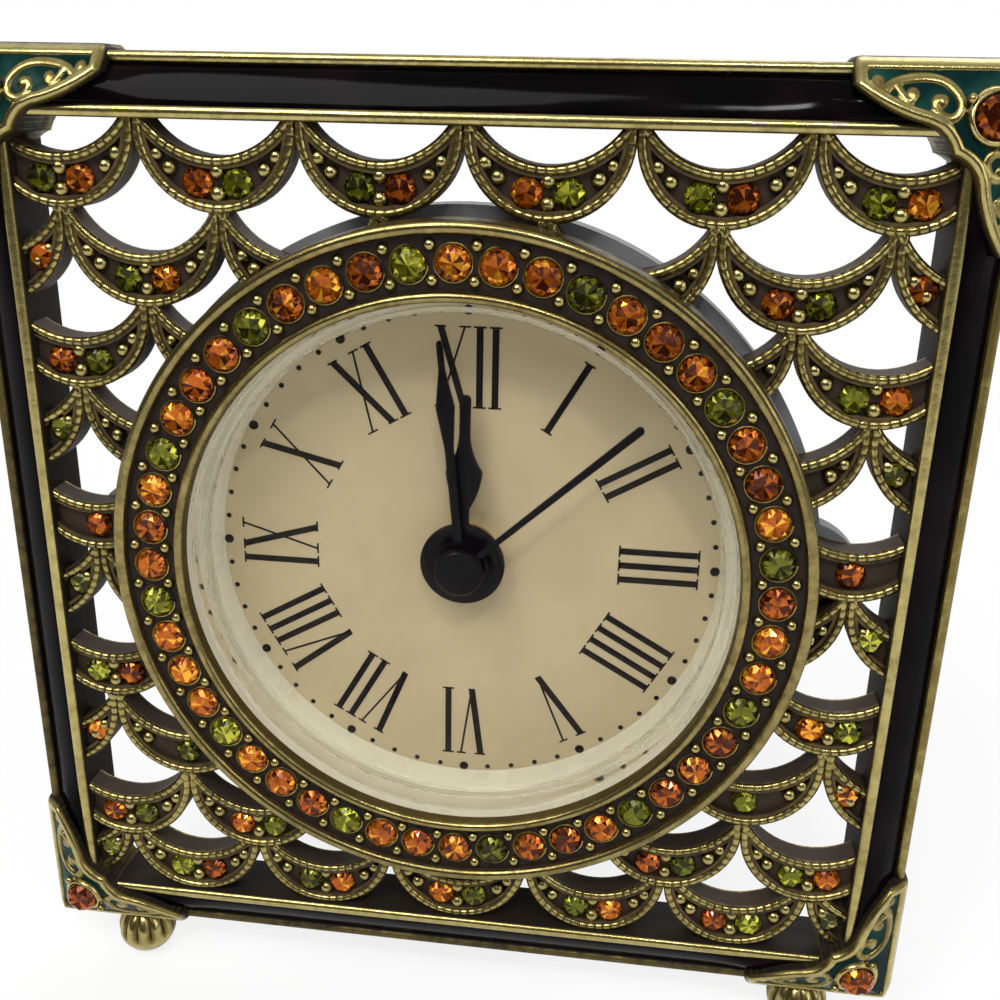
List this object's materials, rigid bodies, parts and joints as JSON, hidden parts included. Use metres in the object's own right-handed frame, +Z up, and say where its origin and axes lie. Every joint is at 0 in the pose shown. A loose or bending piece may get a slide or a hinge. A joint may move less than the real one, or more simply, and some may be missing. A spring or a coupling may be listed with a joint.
{
  "type": "pendulette desk clock",
  "caption": "Small square desk clock with a pierced fish-scale grille, jewelled round bezel, enamel corner brackets, quartz movement and fold-out rear strut.",
  "frame": {"origin": "on the floor, under the middle of the bounding box", "axes": "+X to the clock face's right as seen from the front, +Y backwards, +Z up; the clock leans back 8 degrees on its strut"},
  "size_m": [0.0896, 0.0486, 0.0946],
  "materials": {
    "antique_brass": "antiqued, dark in the recesses and worn bright on the edges",
    "black_enamel": "glossy",
    "teal_enamel": "glossy",
    "amber_crystal": "faceted",
    "green_crystal": "faceted",
    "clear_lens": "polished",
    "reflector_white": "satin",
    "dial_cream": "matt",
    "hand_black": "satin",
    "case_grey": "matt",
    "movement_plastic": "matt",
    "wheel_plastic": "satin",
    "wheel_brass": "satin",
    "steel": "satin",
    "copper_wire": "lacquered copper winding",
    "board_green": "satin",
    "cell_steel": "polished",
    "cover_black": "matt"
  },
  "bodies": {
    "clock": {"square_frame": "antique_brass", "black_enamel_bands": "black_enamel", "corner_bracket_top_right": "antique_brass", "corner_bracket_bottom_right": "antique_brass", "corner_bracket_bottom_left": "antique_brass", "corner_bracket_top_left": "antique_brass", "teal_enamel_fields": "teal_enamel", "corner_stones": "amber_crystal", "scale_grille": "antique_brass", "grille_stones_amber": "amber_crystal", "grille_stones_green": "green_crystal", "bezel_ring": "antique_brass", "bezel_stones_amber": "amber_crystal", "bezel_stones_green": "green_crystal", "lens": "clear_lens", "reflector_ring": "reflector_white", "dial": "dial_cream", "dial_nut": "wheel_brass", "movement_case": "case_grey", "case_screws": "steel", "front_plate": "movement_plastic", "train_bridge": "movement_plastic", "stator": "steel", "coil_core": "steel", "coil_bobbin": "movement_plastic", "coil_winding": "copper_wire", "circuit_board": "board_green", "quartz_crystal": "cell_steel", "button_cell": "cell_steel", "cell_contacts": "wheel_brass", "rear_cover": "cover_black", "cover_screws": "steel", "strut_bracket": "antique_brass", "bracket_screws": "steel", "hinge_pin": "steel", "foot_left": "antique_brass", "foot_right": "antique_brass", "foot_studs": "steel"},
    "second_train": {"second_hand": "hand_black", "second_wheel": "wheel_plastic"},
    "minute_train": {"minute_hand": "hand_black", "cannon_pinion": "wheel_brass"},
    "hour_train": {"hour_hand": "hand_black", "hour_wheel": "wheel_brass"},
    "centre_wheel": {"centre_wheel": "wheel_plastic"},
    "third_wheel": {"third_wheel": "wheel_plastic"},
    "intermediate_wheel": {"intermediate_wheel": "wheel_plastic"},
    "rotor": {"rotor": "steel"},
    "motion_wheel": {"motion_wheel": "wheel_plastic"},
    "setting_knob": {"setting_knob": "cover_black"},
    "strut": {"strut": "antique_brass"},
    "battery_door": {"battery_door": "cover_black"}
  },
  "joints": [
    {"name": "second_spin", "type": "hinge", "parent": "clock", "child": "second_train", "pos_m": [0, -0.01685, 0.05047], "axis": [0, 0.9903, -0.1392], "continuous": true},
    {"name": "minute_spin", "type": "hinge", "parent": "clock", "child": "minute_train", "pos_m": [0, -0.01685, 0.05047], "axis": [0, 0.9903, -0.1392], "continuous": true},
    {"name": "hour_spin", "type": "hinge", "parent": "clock", "child": "hour_train", "pos_m": [0, -0.01685, 0.05047], "axis": [0, 0.9903, -0.1392], "continuous": true},
    {"name": "centre_wheel_spin", "type": "hinge", "parent": "clock", "child": "centre_wheel", "pos_m": [0, -0.01685, 0.05047], "axis": [0, 0.9903, -0.1392], "continuous": true},
    {"name": "third_wheel_spin", "type": "hinge", "parent": "clock", "child": "third_wheel", "pos_m": [0.00425, -0.01788, 0.04318], "axis": [0, 0.9903, -0.1392], "continuous": true},
    {"name": "intermediate_wheel_spin", "type": "hinge", "parent": "clock", "child": "intermediate_wheel", "pos_m": [0, -0.01565, 0.05903], "axis": [0, 0.9903, -0.1392], "continuous": true},
    {"name": "rotor_spin", "type": "hinge", "parent": "clock", "child": "rotor", "pos_m": [0, -0.01479, 0.06513], "axis": [0, 0.9903, -0.1392], "continuous": true},
    {"name": "motion_wheel_spin", "type": "hinge", "parent": "clock", "child": "motion_wheel", "pos_m": [0.007, -0.01685, 0.05047], "axis": [0, 0.9903, -0.1392], "continuous": true},
    {"name": "knob_turn", "type": "hinge", "parent": "clock", "child": "setting_knob", "pos_m": [0.01575, -0.01685, 0.05047], "axis": [0, 0.9903, -0.1392], "continuous": true},
    {"name": "strut_fold", "type": "hinge", "parent": "clock", "child": "strut", "pos_m": [0, 0.00567, 0.05841], "axis": [1, 0, 0], "range_deg": [-24.5, 0]},
    {"name": "battery_door_slide", "type": "slide", "parent": "clock", "child": "battery_door", "axis": [-1, 0, 0], "range_m": [0, 0.01]}
  ],
  "couplings": [
    {"joint": "intermediate_wheel_spin", "follows": "second_spin", "ratio": -5},
    {"joint": "rotor_spin", "follows": "second_spin", "ratio": 30},
    {"joint": "third_wheel_spin", "follows": "second_spin", "ratio": -0.13333},
    {"joint": "centre_wheel_spin", "follows": "second_spin", "ratio": 0.016667},
    {"joint": "motion_wheel_spin", "follows": "minute_spin", "ratio": -0.33333},
    {"joint": "hour_spin", "follows": "minute_spin", "ratio": 0.083333},
    {"joint": "knob_turn", "follows": "minute_spin", "ratio": 0.5}
  ]
}
